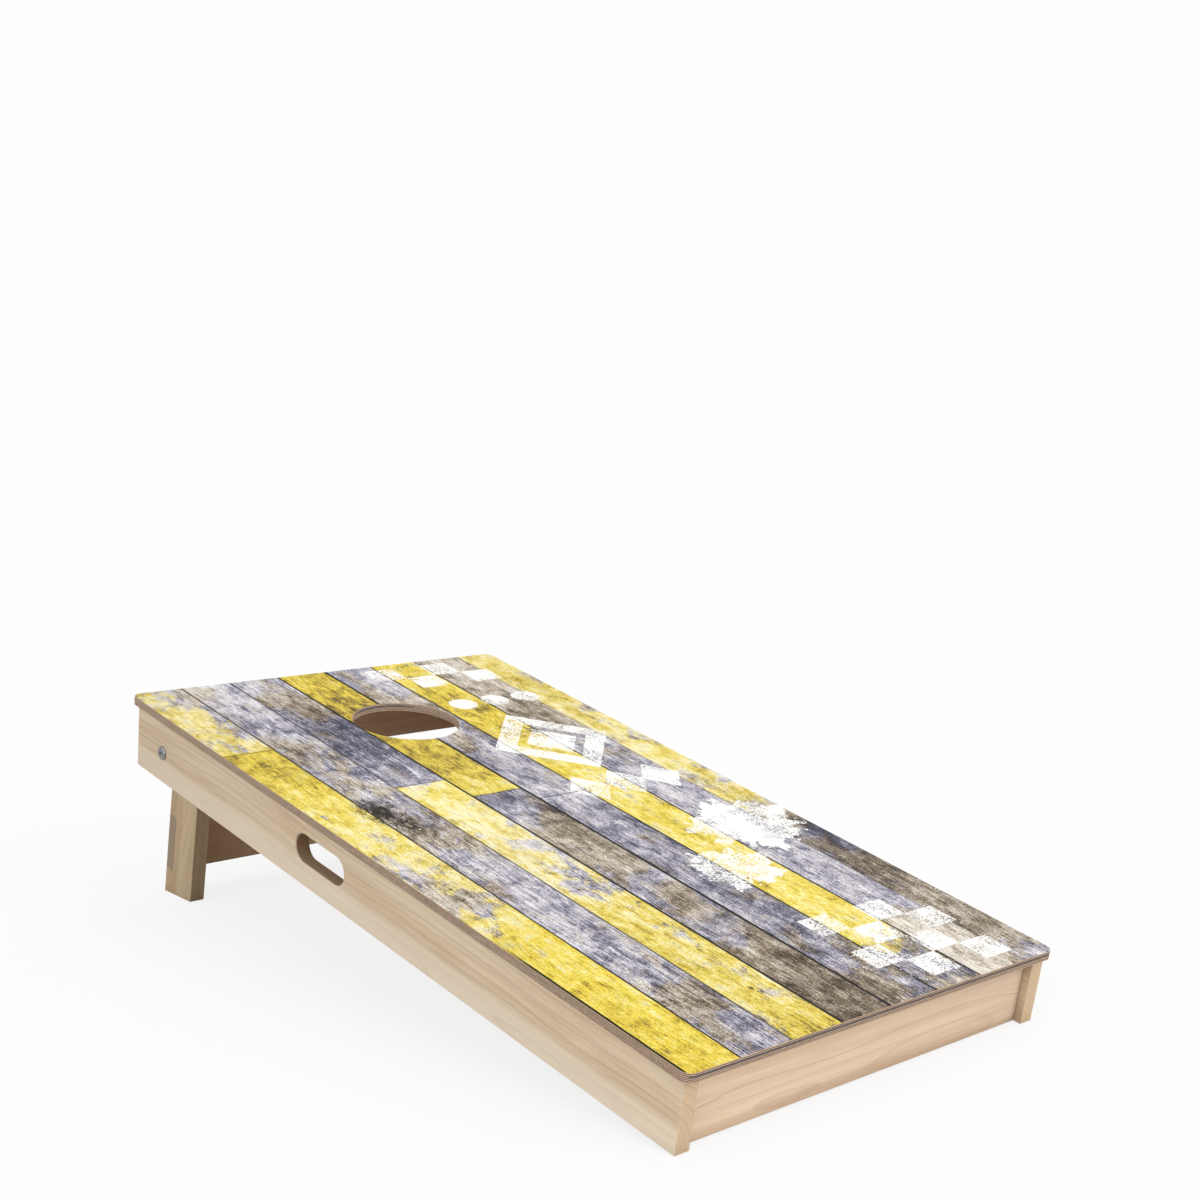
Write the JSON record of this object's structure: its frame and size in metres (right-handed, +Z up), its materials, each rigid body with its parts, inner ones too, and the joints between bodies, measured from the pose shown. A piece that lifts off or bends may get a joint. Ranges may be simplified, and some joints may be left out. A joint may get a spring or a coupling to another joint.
{
  "type": "cornhole board",
  "caption": "Tilted plywood bean-bag target board with a round hole, on a solid wood frame with carry slots and a folding leg frame.",
  "frame": {"origin": "centre of the bounding box on the ground plane, with the board standing tilted on its front edge and its legs", "axes": "+X across the board, +Y from the low front edge towards the hole end, +Z up"},
  "size_m": [0.6096, 1.2229, 0.3047],
  "materials": {
    "birch_plywood": "sanded plywood with its layered edge showing",
    "printed_film": "satin printed film in a weathered plank pattern of yellow, grey and slate",
    "rail_wood": "pale clear-coated hardwood",
    "block_wood": "bare hardwood",
    "leg_wood": "pale clear-coated hardwood",
    "zinc_steel": "bright zinc plating",
    "screw_steel": "yellow zinc plating"
  },
  "bodies": {
    "board": {"deck_panel": "birch_plywood", "deck_print": "printed_film", "side_rail_left": "rail_wood", "side_rail_right": "rail_wood", "front_rail": "rail_wood", "back_rail": "rail_wood", "pivot_block_left": "block_wood", "pivot_block_right": "block_wood", "pivot_bolt_left": "zinc_steel", "pivot_bolt_right": "zinc_steel", "spacer_washer_left": "zinc_steel", "spacer_washer_right": "zinc_steel", "nut_washer_left": "zinc_steel", "nut_washer_right": "zinc_steel", "corner_screw_front_left_upper": "screw_steel", "corner_screw_front_left_lower": "screw_steel", "corner_screw_front_right_upper": "screw_steel", "corner_screw_front_right_lower": "screw_steel", "corner_screw_back_left_upper": "screw_steel", "corner_screw_back_left_lower": "screw_steel", "corner_screw_back_right_upper": "screw_steel", "corner_screw_back_right_lower": "screw_steel", "deck_screw_left_1": "screw_steel", "deck_screw_left_2": "screw_steel", "deck_screw_left_3": "screw_steel", "deck_screw_right_1": "screw_steel", "deck_screw_right_2": "screw_steel", "deck_screw_right_3": "screw_steel", "deck_screw_front": "screw_steel", "deck_screw_back": "screw_steel", "block_screw_left_front": "screw_steel", "block_screw_left_back": "screw_steel", "block_screw_right_front": "screw_steel", "block_screw_right_back": "screw_steel"},
    "leg_frame": {"leg_left": "leg_wood", "leg_right": "leg_wood", "leg_brace": "leg_wood", "brace_screw_left_upper": "screw_steel", "brace_screw_left_lower": "screw_steel", "brace_screw_right_upper": "screw_steel", "brace_screw_right_lower": "screw_steel"},
    "wing_nut_left": {"wing_nut_left": "zinc_steel"},
    "wing_nut_right": {"wing_nut_right": "zinc_steel"}
  },
  "joints": [
    {"name": "leg_fold", "type": "hinge", "parent": "board", "child": "leg_frame", "pos_m": [0, 0.51683, 0.23145], "axis": [-1, 0, 0], "range_deg": [0, 94]},
    {"name": "wing_nut_left_turn", "type": "hinge", "parent": "board", "child": "wing_nut_left", "pos_m": [-0.234, 0.51683, 0.23145], "axis": [1, 0, 0], "continuous": true},
    {"name": "wing_nut_right_turn", "type": "hinge", "parent": "board", "child": "wing_nut_right", "pos_m": [0.234, 0.51683, 0.23145], "axis": [-1, 0, 0], "continuous": true}
  ]
}
